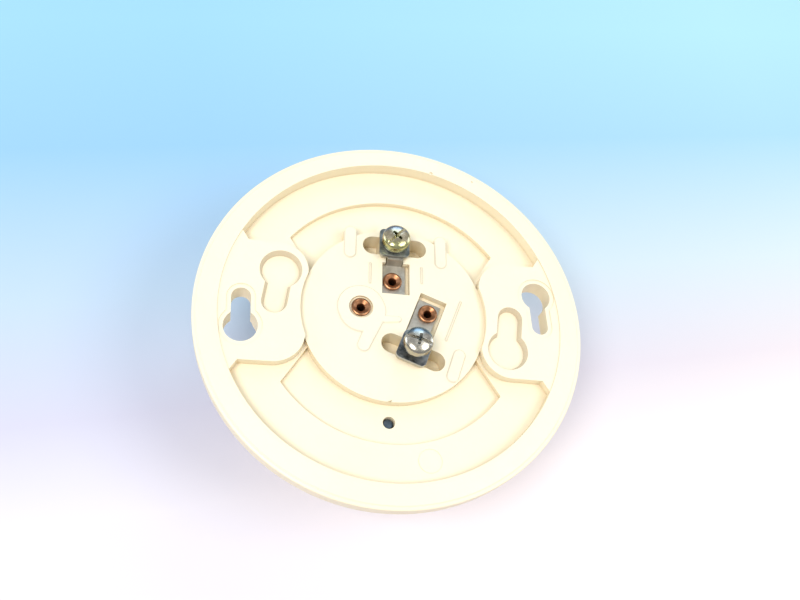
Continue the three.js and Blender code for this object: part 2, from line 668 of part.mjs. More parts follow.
function buildCollector() {
  return turned([
    [0, COLLECTOR_END],
    [4, COLLECTOR_END],
    [4.6, COLLECTOR_END + 0.4],
    [COLLECTOR_RADIUS - 0.4, COLLECTOR_END + 0.4],
    [COLLECTOR_RADIUS, COLLECTOR_END + 0.8],
    [COLLECTOR_RADIUS - 0.3, COLLECTOR_END + 1.2],
    [4.5, COLLECTOR_END + 1.2],
    [4.2, COLLECTOR_END + 1.6],
    [4.2, -36],
    [4, -35.8],
    [2.9, -35.8],
    [2.9, -39.7],
    [0, -39.7],
  ], 40);
}

function buildAlloy() {
  return turned([[1.8, -39], [2.6, -39], [2.6, -36.4], [1.8, -36.4]], 24);
}

// ---------------------------------------------------------------- assembly
const group = new THREE.Group();

function place(name, solid, material) {
  const mesh = new THREE.Mesh(toGeometry(solid), material);
  mesh.name = name;
  group.add(mesh);
}

place('base_moulding', buildBase(), LOOKS.ivory);

const SCREW_LOOKS = { upper: LOOKS.yellowZinc, lower: LOOKS.zinc };
for (const [side, terminal] of Object.entries(TERMINALS)) {
  place(`${side}_terminal_strip`, buildStrip(terminal), LOOKS.nickel);
  place(`${side}_clamp_washer`, buildClampWasher(terminal), LOOKS.zinc);
  place(`${side}_lock_washer`, buildLockWasher(terminal), LOOKS.zinc);
  place(`${side}_terminal_screw`, buildTerminalScrew(terminal), SCREW_LOOKS[side]);
}
place('upper_eyelet', buildEyelet(EYELET_PLACES[0], STRIP_TOP + GAP), LOOKS.copper);
place('lower_eyelet', buildEyelet(EYELET_PLACES[1], STRIP_TOP + GAP), LOOKS.copper);
place('side_eyelet', buildEyelet(BARE_EYELET, ISLAND_TOP - 0.6 + GAP), LOOKS.copper);

place('contact_spring', buildContactSpring(), LOOKS.bronze);
place('moving_contact', buildMovingContact(), LOOKS.silver);
place('fixed_contact_bracket', buildFixedContactBracket(), LOOKS.brass);
place('adjusting_contact_screw', buildAdjustingScrew(), LOOKS.silver);
place('back_stop', buildBackStop(), LOOKS.brass);
place('diaphragm_pusher', buildPusher(), LOOKS.phenolic);
place('diaphragm', buildDiaphragm(), LOOKS.bronze);
place('gasket', buildGasket(), LOOKS.rubber);
place('breather_plug', buildVentPlug(), LOOKS.steel);
place('front_shell', buildShell(), LOOKS.paintedShell);
place('plunger_guide', buildGuide(), LOOKS.brass);
place('plunger', buildPlunger(), LOOKS.brass);
place('plunger_spring', buildPlungerSpring(), LOOKS.steel);
place('fusible_alloy', buildAlloy(), LOOKS.solder);
place('heat_collector', buildCollector(), LOOKS.aluminium);

export default group;
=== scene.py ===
import math

import bmesh
import bpy
from mathutils import Matrix, Quaternion, Vector


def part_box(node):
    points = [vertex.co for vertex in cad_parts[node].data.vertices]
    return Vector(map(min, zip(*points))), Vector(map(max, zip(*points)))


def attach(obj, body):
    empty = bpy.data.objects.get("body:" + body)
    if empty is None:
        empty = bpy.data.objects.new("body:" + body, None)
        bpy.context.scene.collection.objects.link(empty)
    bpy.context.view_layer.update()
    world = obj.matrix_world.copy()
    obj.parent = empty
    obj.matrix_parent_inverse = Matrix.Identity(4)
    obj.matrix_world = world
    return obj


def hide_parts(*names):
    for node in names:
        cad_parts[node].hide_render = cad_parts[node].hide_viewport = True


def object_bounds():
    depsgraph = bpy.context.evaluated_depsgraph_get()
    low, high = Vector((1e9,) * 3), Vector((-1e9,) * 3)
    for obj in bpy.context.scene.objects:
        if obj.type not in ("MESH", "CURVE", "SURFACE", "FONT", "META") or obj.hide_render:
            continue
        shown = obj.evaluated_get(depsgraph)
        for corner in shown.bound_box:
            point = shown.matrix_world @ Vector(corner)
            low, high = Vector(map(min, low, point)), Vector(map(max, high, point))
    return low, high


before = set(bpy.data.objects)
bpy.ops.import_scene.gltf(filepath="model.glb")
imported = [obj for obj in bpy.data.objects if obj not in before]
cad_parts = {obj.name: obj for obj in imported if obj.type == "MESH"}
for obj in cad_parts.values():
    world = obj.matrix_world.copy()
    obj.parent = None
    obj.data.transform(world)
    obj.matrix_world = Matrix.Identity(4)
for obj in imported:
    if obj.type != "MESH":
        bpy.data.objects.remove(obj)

CAD_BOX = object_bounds()
MM = 0.001

# ---------------------------------------------------------------- dimensions, in mm and degrees
BASE_RADIUS = 57.15
BASE_FRONT = -6.5               # front face of the disc
HUB_FRONT = -8.4                # front face of its thicker middle
HUB_STEP = 3                    # the middle is this much wider than the collar
LAND_INNER = 50.3               # flat ring that meets the ceiling
LAND_OUTER = 51.3
RIM_CORNER = 56.5               # outer end of the rim's slope
RIM_DROP = 0.8
PAD_TOP = -0.3                  # pads that carry the keyholes
PAD_HALF_WIDTH = 18.6
PAD_CORNER = 8.8
ISLAND_RADIUS = 27.4
ISLAND_TOP = -2.2
SECTOR_RADIUS = 39              # deeper sector in each recess
SECTOR_ANGLE = 36.3             # of its outer corner, from +X
SECTOR_ROOT_ANGLE = 26.6        # of its inner corner
UPPER_FLOOR = -4.4
UPPER_SECTOR_FLOOR = -6.3
LOWER_FLOOR = -3.5
LOWER_SECTOR_FLOOR = -5.4
COLLAR_INNER = 34.2
COLLAR_OUTER = 37.3
COLLAR_END = -16
KEYHOLE_DEPTH = 2
KEYHOLE_DRAFT = 0.8             # a blind keyhole's floor is this much smaller all round
LIP_WIDTH = 1.3                 # shallow lip round a through keyhole
LIP_DEPTH = 0.25
RIB_HEIGHT = 0.35
RIB_SLOPE = 0.2                 # a rib's side spreads this much either way from its outline
BAR_RADIUS = 1.75
FINE_RIB_RADIUS = 0.28
SLOT_SPACING = 13.55            # wire slot: two round ends this far apart
SLOT_RADIUS = 3
SLOT_FLOOR = -9.1
SLOT_WALL = 1.6
SEAT_HALF = 4                   # square seat under a terminal's plate
SEAT_CORNER = 0.6
SEAT_TOP = -1.5
POCKET_FLOOR = -4.7
POCKET_SPARE = 0.9              # extra room along one side of the strip
STRIP_WIDTH = 6.8
STRIP_SHIFT = 0.5               # the strip stands this far to one side of the screw
TAIL_START = -5.7
NECK_WIDTH = 4.7
EYELET_HOLE = 1.7
COUNTERBORE_RADIUS = 3.55
COUNTERBORE_DEPTH = 0.6
RELIEF_RADIUS = 2.4             # hollow in the hub's front for the adjusting screw
RELIEF_TOP = -5.5
MOULD_EDGE = 0.12               # rounding of the moulding's edges
GAP = 0.3                       # play left round a piece in its pocket
ABOVE = 1                       # cutters end this far over the mounting plane
ROUND = 192                     # facets round the disc

HEAD_RADIUS = 4.15
HEAD_SIDE = 1.9
HEAD_CROWN = 1.6
HEAD_EDGE = 0.1
SHANK_RADIUS = 2
THREAD_PITCH = 0.79375
THREAD_DEPTH = 0.32
THREAD_RUN_IN = 0.8
THREAD_RUN_OUT = 0.6

# A terminal's own axes have the screw at the origin and the strip along -Y.
TERMINALS = {
    "upper": {
        "screw": (-0.4, 21.9), "slot": (0.14, 22), "turn": 0,
        "eyelet": 11.3, "pocket_end": 15.8, "side": 1,
    },
    "lower": {
        "screw": (5.5, -11.8), "slot": (5.6, -12), "turn": 159.5,
        "eyelet": 13.5, "pocket_end": 18.8, "side": -1,
    },
}
BARE_EYELET = (-9.8, 0.9)
VENT = (-0.8, -32.3)
VENT_RADIUS = 1.75
# Each keyhole: centre and radius of its head, then of its neck.
THROUGH_KEYHOLES = (
    ((-43.4, -8.6), 4.75, (-43.95, 0.2), 2.75),
    ((43.6, 8.6), 4.5, (44.15, -1.4), 2.5),
)
BLIND_KEYHOLES = (
    ((-33.5, 9.9), 6.1, (-34.725, -0.4), 3.7),
    ((33.5, -9.9), 6.1, (34.825, 0.3), 3.8),
)


# ---------------------------------------------------------------- mesh making
def mesh_object(name, bm):
    """Turns a bmesh into an object with welded vertices and outward faces."""
    bmesh.ops.remove_doubles(bm, verts=bm.verts, dist=1e-5)
    bmesh.ops.recalc_face_normals(bm, faces=bm.faces)
    mesh = bpy.data.meshes.new(name)
    bm.to_mesh(mesh)
    bm.free()
    obj = bpy.data.objects.new(name, mesh)
    bpy.context.scene.collection.objects.link(obj)
    return obj


def loft(loops):
    """A closed bmesh through rings of 3-D points, all with as many points, capped at both ends."""
    bm = bmesh.new()
    rings = [[bm.verts.new(point) for point in loop] for loop in loops]
    count = len(rings[0])
    for low, high in zip(rings, rings[1:]):
        for i in range(count):
            j = (i + 1) % count
            bm.faces.new((low[i], low[j], high[j], high[i]))
    bm.faces.new(list(reversed(rings[0])))
    bm.faces.new(rings[-1])
    return bm


def prism(outline, bottom, top):
    """An upright solid on an outline."""
    return mesh_object("cutter", loft([[(x, y, z) for x, y in outline] for z in (bottom, top)]))


def turned_bm(outline, segments):
    """A solid of revolution about Z from [radius, z] points that run anticlockwise."""
    bm = bmesh.new()
    closed = outline[0][0] == 0 and outline[-1][0] == 0
    columns = []
    for step in range(segments):
        angle = 2 * math.pi * step / segments
        spin = (math.cos(angle), math.sin(angle))
        columns.append([bm.verts.new((r * spin[0], r * spin[1], z)) for r, z in outline])
    last = len(outline) - 1 if closed else len(outline)
    for step in range(segments):
        here, there = columns[step], columns[(step + 1) % segments]
        for i in range(last):
            j = (i + 1) % len(outline)
            bm.faces.new((here[i], there[i], there[j], here[j]))
    bmesh.ops.remove_doubles(bm, verts=bm.verts, dist=1e-6)
    bmesh.ops.dissolve_degenerate(bm, edges=bm.edges, dist=1e-6)
    return bm


def rounded(points, steps=5):
    """Rounds the corners of an outline. Each point is (radius, z) or (radius, z, fillet)."""
    longest_share = 0.49
    result = []
    count = len(points)
    for i, point in enumerate(points):
        if len(point) == 2 or point[2] == 0:
            result.append((point[0], point[1]))
            continue
        here = Vector(point[:2])
        before = Vector(points[i - 1][:2]) - here
        after = Vector(points[(i + 1) % count][:2]) - here
        half = before.angle(after) / 2
        reach = min(point[2] / math.tan(half), before.length * longest_share, after.length * longest_share)
        start, end = here + before.normalized() * reach, here + after.normalized() * reach
        for step in range(steps + 1):
            t = step / steps
            result.append(tuple(start * (1 - t) ** 2 + here * 2 * t * (1 - t) + end * t ** 2))
    return result


def arc(centre, radius, start, end, steps):
    """Points along an arc, angles in degrees, anticlockwise when end is larger."""
    angles = [math.radians(start + (end - start) * i / steps) for i in range(steps + 1)]
    return [(centre[0] + radius * math.cos(a), centre[1] + radius * math.sin(a)) for a in angles]


def capsule(start, start_radius, end, end_radius, steps=24):
    """Outline round two circles and their outer tangents."""
    heading = math.degrees(math.atan2(end[1] - start[1], end[0] - start[0]))
    lean = math.degrees(math.acos((start_radius - end_radius) / math.dist(start, end)))
    near = arc(start, start_radius, heading + lean, heading - lean + 360, steps)
    return near + arc(end, end_radius, heading - lean, heading + lean, steps)


def keyhole(big, big_radius, small, small_radius, grow=0.0):
    """Outline of a round head with a straight neck that ends in a half circle."""
    heading = math.degrees(math.atan2(small[1] - big[1], small[0] - big[0]))
    meet = math.degrees(math.asin((small_radius + grow) / (big_radius + grow)))
    head = arc(big, big_radius + grow, heading + meet, heading - meet + 360, 56)
    return head + arc(small, small_radius + grow, heading - 90, heading + 90, 28)


def square_outline(half, corner):
    """A square with round corners."""
    inner = half - corner
    corners = ((inner, inner, 0), (-inner, inner, 90), (-inner, -inner, 180), (inner, -inner, 270))
    return [p for cx, cy, turn in corners for p in arc((cx, cy), corner, turn, turn + 90, 6)]


def disc(radius, bottom, top, place=(0, 0), segments=64):
    """An upright cylinder to cut with."""
    outline = [(0, bottom), (radius, bottom), (radius, top), (0, top)]
    bm = turned_bm(outline, segments)
    bmesh.ops.translate(bm, vec=(place[0], place[1], 0), verts=bm.verts)
    return mesh_object("cutter", bm)


def moved(obj, turn=0.0, place=(0, 0)):
    """Turns a drawn solid about Z, in degrees, and then shifts it in the plane."""
    shift = Matrix.Translation((place[0], place[1], 0))
    obj.data.transform(shift @ Matrix.Rotation(math.radians(turn), 4, "Z"))
    return obj


def combine(obj, others, operation):
    """Joins or cuts obj by each of the others, which are used up."""
    for other in others:
        modifier = obj.modifiers.new("solid", "BOOLEAN")
        modifier.operation = operation
        modifier.solver = "MANIFOLD"
        modifier.object = other
        apply_modifiers(obj)
        bpy.data.objects.remove(other)
    return obj


def apply_modifiers(obj):
    """Bakes an object's modifiers into its mesh."""
    bpy.context.view_layer.update()
    evaluated = obj.evaluated_get(bpy.context.evaluated_depsgraph_get())
    mesh = bpy.data.meshes.new_from_object(evaluated)
    obj.modifiers.clear()
    obj.data = mesh
    return obj


def soften(obj, width):
    """Rounds the sharp edges of a piece that is still in millimetres."""
    modifier = obj.modifiers.new("edges", "BEVEL")
    modifier.width = width
    modifier.segments = 2
    modifier.limit_method = "ANGLE"
    modifier.angle_limit = math.radians(35)
    modifier.use_clamp_overlap = True
    return apply_modifiers(obj)


def finished(obj, name, body, nodes, material, smooth=32):
    """Names a piece, turns it into metres, shades it smooth and hangs it on its CAD body."""
    obj.name = name
    obj.data.name = name
    obj.data.transform(Matrix.Scale(MM, 4))
    for polygon in obj.data.polygons:
        polygon.use_smooth = True
    obj.data.set_sharp_from_angle(angle=math.radians(smooth))
    weighted = obj.modifiers.new("normals", "WEIGHTED_NORMAL")
    weighted.keep_sharp = True
    obj.data.materials.clear()
    obj.data.materials.append(material)
    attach(obj, body)
    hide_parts(*nodes)
    return obj


# ---------------------------------------------------------------- materials
# Noise scales are per metre, so that 1000 is a millimetre's grain.
# Painted shade: the mouldings' upright walls and their creases are darkened and warmed as if in shade.
WALL_SHADE_TINT = (0.95, 0.93, 0.90)
CREASE_SHADE_TINT = (0.86, 0.815, 0.76)
CREASE_SHADE_REACH = 0.0018           # metres
CREASE_SHADE_ON_FLOORS = 0.45         # how much of the painted shade in creases level faces take


def node_material(name):
    material = bpy.data.materials.new(name)
    material.use_nodes = True
    nodes, links = material.node_tree.nodes, material.node_tree.links
    return material, nodes, links, nodes["Principled BSDF"]


def noise(nodes, links, scale, detail=4.0, roughness=0.55, stretch=None):
    """Object-space noise, optionally stretched along an axis for brushed or rolled metal."""
    place = nodes.new("ShaderNodeTexCoord")
    texture = nodes.new("ShaderNodeTexNoise")
    texture.inputs["Scale"].default_value = scale
    texture.inputs["Detail"].default_value = detail
    texture.inputs["Roughness"].default_value = roughness
    if stretch is None:
        links.new(place.outputs["Object"], texture.inputs["Vector"])
        return texture.outputs["Fac"]
    mapping = nodes.new("ShaderNodeMapping")
    mapping.inputs["Scale"].default_value = stretch
    links.new(place.outputs["Object"], mapping.inputs["Vector"])
    links.new(mapping.outputs["Vector"], texture.inputs["Vector"])
    return texture.outputs["Fac"]


def ramp(nodes, links, factor, stops):
    """Maps a factor on to colours, each stop a position and a colour."""
    node = nodes.new("ShaderNodeValToRGB")
    links.new(factor, node.inputs["Fac"])
    elements = node.color_ramp.elements
    while len(elements) < len(stops):
        elements.new(0.5)
    for element, (position, color) in zip(elements, stops):
        element.position = position
        element.color = (*color, 1)
    return node.outputs["Color"]


def spread(nodes, links, factor, low, high):
    """Maps a 0 to 1 noise on to a range of values."""
    node = nodes.new("ShaderNodeMapRange")
    node.inputs["From Min"].default_value = 0.3
    node.inputs["From Max"].default_value = 0.7
    node.inputs["To Min"].default_value = low
    node.inputs["To Max"].default_value = high
    links.new(factor, node.inputs["Value"])
    return node.outputs["Result"]


def bump(nodes, links, shader, heights):
    """Stacks bumps on the shader's normal. Each is (height socket, strength, distance in metres)."""
    normal = None
    for height, strength, distance in heights:
        node = nodes.new("ShaderNodeBump")
        node.inputs["Strength"].default_value = strength
        node.inputs["Distance"].default_value = distance
        links.new(height, node.inputs["Height"])
        if normal is not None:
            links.new(normal, node.inputs["Normal"])
        normal = node.outputs["Normal"]
    links.new(normal, shader.inputs["Normal"])


def upright(nodes, links):
    """1 on walls that stand upright in the object's own frame, 0 on level faces."""
    place = nodes.new("ShaderNodeTexCoord")
    split = nodes.new("ShaderNodeSeparateXYZ")
    links.new(place.outputs["Normal"], split.inputs["Vector"])
    level = nodes.new("ShaderNodeMath")
    level.operation = "ABSOLUTE"
    links.new(split.outputs["Z"], level.inputs[0])
    mask = nodes.new("ShaderNodeMapRange")
    mask.inputs["From Min"].default_value = 0.95
    mask.inputs["From Max"].default_value = 0.4
    links.new(level.outputs["Value"], mask.inputs["Value"])
    return mask.outputs["Result"]


def leaning(nodes, links, direction):
    """1 where the surface leans well over towards a direction, 0 where it faces up or away."""
    place = nodes.new("ShaderNodeTexCoord")
    dot = nodes.new("ShaderNodeVectorMath")
    dot.operation = "DOT_PRODUCT"
    dot.inputs[1].default_value = direction
    links.new(place.outputs["Normal"], dot.inputs[0])
    reach = nodes.new("ShaderNodeMapRange")
    reach.inputs["From Min"].default_value = 0.15
    reach.inputs["From Max"].default_value = 0.3
    reach.inputs["To Max"].default_value = 0.85
    links.new(dot.outputs["Value"], reach.inputs["Value"])
    return reach.outputs["Result"]


def crease_shade_mask(nodes, links, walls):
    """Mask of painted shade: near 1 where the piece's own walls crowd a point, less so on level faces."""
    occlusion = nodes.new("ShaderNodeAmbientOcclusion")
    occlusion.only_local = True
    occlusion.samples = 12
    occlusion.inputs["Distance"].default_value = CREASE_SHADE_REACH
    closed = nodes.new("ShaderNodeMapRange")
    closed.inputs["From Min"].default_value = 0.97
    closed.inputs["From Max"].default_value = 0.5
    links.new(occlusion.outputs["AO"], closed.inputs["Value"])
    share = nodes.new("ShaderNodeMapRange")
    share.inputs["To Min"].default_value = CREASE_SHADE_ON_FLOORS
    links.new(walls, share.inputs["Value"])
    product = nodes.new("ShaderNodeMath")
    product.operation = "MULTIPLY"
    links.new(closed.outputs["Result"], product.inputs[0])
    links.new(share.outputs["Result"], product.inputs[1])
    return product.outputs["Value"]


def tinted(nodes, links, color, factor, tint, blend="MULTIPLY"):
    """Blends a fixed tint into a colour as far as the factor says."""
    mix = nodes.new("ShaderNodeMix")
    mix.data_type = "RGBA"
    mix.blend_type = blend
    mix.inputs["B"].default_value = (*tint, 1)
    links.new(factor, mix.inputs["Factor"])
    links.new(color, mix.inputs["A"])
    return mix.outputs["Result"]


def moulded_plastic(name, light, dark, roughness=0.42):
    """Aged thermoset: slow drift of tone, painted shade that warms and darkens upright walls and creases,
    fine pitted gloss.
    """
    material, nodes, links, shader = node_material(name)
    drift = noise(nodes, links, 26, detail=3)
    color = ramp(nodes, links, drift, ((0.3, dark), (0.68, light)))
    walls = upright(nodes, links)
    # Painted shade on upright walls.
    color = tinted(nodes, links, color, walls, WALL_SHADE_TINT)
    # Painted shade in creases, where the piece's own walls crowd a point.
    color = tinted(nodes, links, color, crease_shade_mask(nodes, links, walls), CREASE_SHADE_TINT)
    links.new(color, shader.inputs["Base Color"])
    gloss = spread(nodes, links, noise(nodes, links, 180, detail=6), roughness - 0.07, roughness + 0.09)
    links.new(gloss, shader.inputs["Roughness"])
    pits = noise(nodes, links, 2600, detail=2)
    waves = noise(nodes, links, 90, detail=2)
    bump(nodes, links, shader, ((waves, 0.12, 0.0006), (pits, 0.10, 0.00006)))
    shader.inputs["Specular IOR Level"].default_value = 0.5
    shader.inputs["Subsurface Weight"].default_value = 0.05
    shader.inputs["Subsurface Radius"].default_value = (0.0022, 0.0014, 0.0007)
    shader.inputs["Subsurface Scale"].default_value = 1.0
    return material


def metal(
    name, light, dark, roughness, grain=900,
    stretch=None, tarnish=None, edge=None, dents=0.1, sides=(),
):
    """Plated or bare metal with grain and patches of tone.

    The edge tone is a painted highlight on upright faces, and the side tones are painted reflections on faces
    that lean to +Y and to -Y.
    """
    material, nodes, links, shader = node_material(name)
    shader.inputs["Metallic"].default_value = 1.0
    patches = noise(nodes, links, 420, detail=5, roughness=0.6)
    color = ramp(nodes, links, patches, ((0.34, dark), (0.62, light)))
    if tarnish is not None:
        stain = noise(nodes, links, 240, detail=6, roughness=0.65)
        color = tinted(nodes, links, color, spread(nodes, links, stain, 0.0, 0.85), tarnish, "MIX")
    # Painted highlight: upright faces take the edge tone.
    if edge is not None:
        color = tinted(nodes, links, color, upright(nodes, links), edge, "MIX")
    # Painted reflections: faces that lean to +Y and to -Y take the side tones.
    for direction, reflection_color in zip(((0, 1, 0), (0, -1, 0)), sides):
        color = tinted(nodes, links, color, leaning(nodes, links, direction), reflection_color, "MIX")
    links.new(color, shader.inputs["Base Color"])
    fine = noise(nodes, links, grain, detail=4, stretch=stretch)
    gloss = spread(nodes, links, fine, roughness - 0.06, roughness + 0.12)
    links.new(gloss, shader.inputs["Roughness"])
    bump(nodes, links, shader, ((fine, 0.16, 0.00004), (patches, dents, 0.00008)))
    return material


def painted(name, light, dark):
    """Stove enamel on pressed metal: soft gloss with a faint orange-peel."""
    material, nodes, links, shader = node_material(name)
    drift = noise(nodes, links, 30, detail=3)
    links.new(ramp(nodes, links, drift, ((0.3, dark), (0.7, light))), shader.inputs["Base Color"])
    peel = noise(nodes, links, 700, detail=2)
    links.new(spread(nodes, links, peel, 0.3, 0.42), shader.inputs["Roughness"])
    bump(nodes, links, shader, ((peel, 0.12, 0.0001),))
    shader.inputs["Coat Weight"].default_value = 0.25
    shader.inputs["Coat Roughness"].default_value = 0.2
    return material


def rubber(name, light, dark):
    """Matt rubber with a fine grain."""
    material, nodes, links, shader = node_material(name)
    grain = noise(nodes, links, 900, detail=5)
    links.new(ramp(nodes, links, grain, ((0.35, dark), (0.65, light))), shader.inputs["Base Color"])
    links.new(spread(nodes, links, grain, 0.7, 0.9), shader.inputs["Roughness"])
    bump(nodes, links, shader, ((grain, 0.25, 0.00008),))
    return material


LOOKS = {
    # mouldings: light and dark tone, roughness
    "ivory_plastic": moulded_plastic("ivory_plastic", (0.90, 0.81, 0.61), (0.885, 0.79, 0.585)),
    # Darker copies of the ivory: painted shade on the blind keyholes' walls and the ribs' sides.
    "ivory_recess_shade": moulded_plastic("ivory_recess_shade", (0.70, 0.61, 0.45), (0.66, 0.57, 0.42)),
    "ivory_rib_shade": moulded_plastic("ivory_rib_shade", (0.76, 0.69, 0.54), (0.72, 0.65, 0.50)),
    "phenolic": moulded_plastic("phenolic", (0.16, 0.075, 0.035), (0.09, 0.04, 0.02), 0.5),
    "painted_shell": painted("painted_shell", (0.86, 0.79, 0.64), (0.82, 0.745, 0.59)),
    "rubber": rubber("rubber", (0.035, 0.035, 0.035), (0.012, 0.012, 0.012)),
    # metals: light and dark tone, roughness, grain
    "nickel_strip": metal(
        "nickel_strip", (0.60, 0.56, 0.48), (0.42, 0.39, 0.33), 0.46, 500, stretch=(1, 9, 1)),
    # The zinc side tones are painted reflections on faces that lean to +Y and to -Y.
    "zinc": metal(
        "zinc", (0.84, 0.79, 0.68), (0.40, 0.37, 0.31), 0.2, 900, dents=0.35,
        sides=((0.12, 0.20, 0.27), (0.42, 0.39, 0.32))),
    "yellow_zinc": metal(
        "yellow_zinc", (0.90, 0.78, 0.58), (0.38, 0.35, 0.26), 0.18, 900, tarnish=(0.58, 0.50, 0.26),
        dents=0.4, sides=((0.30, 0.34, 0.42), (0.44, 0.44, 0.20))),
    # The square plates' dark, blue-grey tones are a painted reflection of dark surroundings, and their edge
    # tone is a painted highlight.
    "dark_reflection_plate": metal(
        "dark_reflection_plate", (0.33, 0.35, 0.33), (0.13, 0.14, 0.13), 0.4, 700, edge=(0.32, 0.33, 0.31)),
    "blue_reflection_plate": metal(
        "blue_reflection_plate", (0.33, 0.36, 0.38), (0.10, 0.11, 0.12), 0.3, 700, edge=(0.45, 0.46, 0.45)),
    "copper": metal("copper", (0.58, 0.30, 0.16), (0.27, 0.12, 0.06), 0.34, 700, tarnish=(0.28, 0.12, 0.05)),
    "bronze": metal("bronze", (0.66, 0.46, 0.22), (0.48, 0.31, 0.14), 0.3, 600, stretch=(1, 12, 1)),
    "brass": metal("brass", (0.74, 0.57, 0.25), (0.56, 0.41, 0.17), 0.26, 800),
    "silver": metal("silver", (0.90, 0.89, 0.86), (0.74, 0.73, 0.70), 0.2, 900),
    "aluminium": metal("aluminium", (0.80, 0.81, 0.82), (0.66, 0.67, 0.68), 0.33, 500),
    "solder": metal("solder", (0.50, 0.50, 0.48), (0.33, 0.33, 0.32), 0.5, 500),
    "steel": metal("steel", (0.56, 0.56, 0.56), (0.38, 0.38, 0.39), 0.32, 900),
    "dark_steel": metal("dark_steel", (0.13, 0.17, 0.22), (0.06, 0.09, 0.12), 0.5, 900),
}


# ---------------------------------------------------------------- base moulding
def at_terminal(obj, terminal, place=None):
    """Moves a piece drawn in a terminal's own axes to its place on the back."""
    return moved(obj, terminal["turn"], place or terminal["screw"])


def eyelet_place(terminal):
    """The place of a strip's eyelet, measured along the strip from the screw."""
    along = math.radians(terminal["turn"] - 90)
    x, y = terminal["screw"]
    return (x + terminal["eyelet"] * math.cos(along), y + terminal["eyelet"] * math.sin(along))


EYELETS = {
    "upper": eyelet_place(TERMINALS["upper"]),
    "lower": eyelet_place(TERMINALS["lower"]),
    "side": BARE_EYELET,
}


def base_blank():
    """The disc, its thicker middle and the collar, with the rim's slope and its fine groove."""
    hub = COLLAR_OUTER + HUB_STEP
    outline = rounded([
        (0, HUB_FRONT), (COLLAR_INNER, HUB_FRONT, 0.4), (COLLAR_INNER, COLLAR_END, 0.3),
        (COLLAR_OUTER, COLLAR_END, 0.3), (COLLAR_OUTER, HUB_FRONT, 0.5),
        (hub, HUB_FRONT, 0.5), (hub + 0.6, BASE_FRONT, 0.6),
        (BASE_RADIUS, BASE_FRONT, 1.6), (BASE_RADIUS, -RIM_DROP - 0.2, 0.9),
        (RIM_CORNER, -RIM_DROP, 0.25), (RIM_CORNER - 0.4, -RIM_DROP - 0.1),
        (RIM_CORNER - 0.7, -RIM_DROP + 0.1, 0.1), (LAND_OUTER, 0, 0.6), (0, 0),
    ], 6)
    return mesh_object("base_fine", turned_bm(outline, ROUND))


def trough_outline():
    """The recess above the island: it flares outside the two pads and follows their round corners."""
    flare = (43.4, PAD_HALF_WIDTH + 0.1)
    beyond = (48.5, 26.8)
    corner_y = PAD_HALF_WIDTH - PAD_CORNER
    corner_x = math.sqrt(ISLAND_RADIUS ** 2 - corner_y ** 2) + PAD_CORNER
    left = arc((-corner_x, corner_y), PAD_CORNER, 90, 0, 28)
    right = arc((corner_x, corner_y), PAD_CORNER, 180, 90, 28)
    far_left = [(-beyond[0], BASE_RADIUS), (-beyond[0], beyond[1]), (-flare[0], flare[1])]
    return [(beyond[0], BASE_RADIUS)] + far_left + left + right + [flare, beyond]


def sector_outline():
    """A wedge through the sector's inner and outer corners, the same on both sides."""
    near = arc((0, 0), ISLAND_RADIUS, SECTOR_ROOT_ANGLE, SECTOR_ROOT_ANGLE, 1)[0]
    corner = arc((0, 0), SECTOR_RADIUS, SECTOR_ANGLE, SECTOR_ANGLE, 1)[0]
    beyond = tuple(c + (c - n) / 2 for c, n in zip(corner, near))
    right = [near, beyond, (beyond[0], BASE_RADIUS)]
    return right + [(-x, y) for x, y in reversed(right)]


def recess(outline, radius, floor, turn):
    """A cutter between the island and a radius, kept to a turned outline."""
    island = disc(ISLAND_RADIUS, floor - 1, 2 * ABOVE, segments=ROUND)
    ring = combine(disc(radius, floor, ABOVE, segments=ROUND), [island], "DIFFERENCE")
    return combine(ring, [moved(prism(outline, floor - 1, 2 * ABOVE), turn)], "INTERSECT")


def back_recesses():
    """Everything cut out of the back between the rim's land, the pads and the island."""
    return [
        disc(LAND_INNER, PAD_TOP, ABOVE, segments=ROUND),
        disc(ISLAND_RADIUS, ISLAND_TOP, ABOVE, segments=ROUND),
        recess(trough_outline(), LAND_INNER, UPPER_FLOOR, 0),
        recess(sector_outline(), SECTOR_RADIUS, UPPER_SECTOR_FLOOR, 0),
        recess(trough_outline(), LAND_INNER, LOWER_FLOOR, 180),
        recess(sector_outline(), SECTOR_RADIUS, LOWER_SECTOR_FLOOR, 180),
    ]


def keyhole_cuts():
    """Through keyholes with a shallow lip, and blind ones with drafted walls."""
    cuts = []
    for hole in THROUGH_KEYHOLES:
        cuts.append(prism(keyhole(*hole), BASE_FRONT - 3, ABOVE))
        cuts.append(prism(keyhole(*hole, LIP_WIDTH), PAD_TOP - LIP_DEPTH, ABOVE))
    for hole in BLIND_KEYHOLES:
        floor = PAD_TOP - KEYHOLE_DEPTH
        levels = ((-KEYHOLE_DRAFT, floor), (0, PAD_TOP), (0, ABOVE))
        rings = [[(x, y, z) for x, y in keyhole(*hole, grow)] for grow, z in levels]
        cuts.append(mesh_object("cutter", loft(rings)))
    return cuts


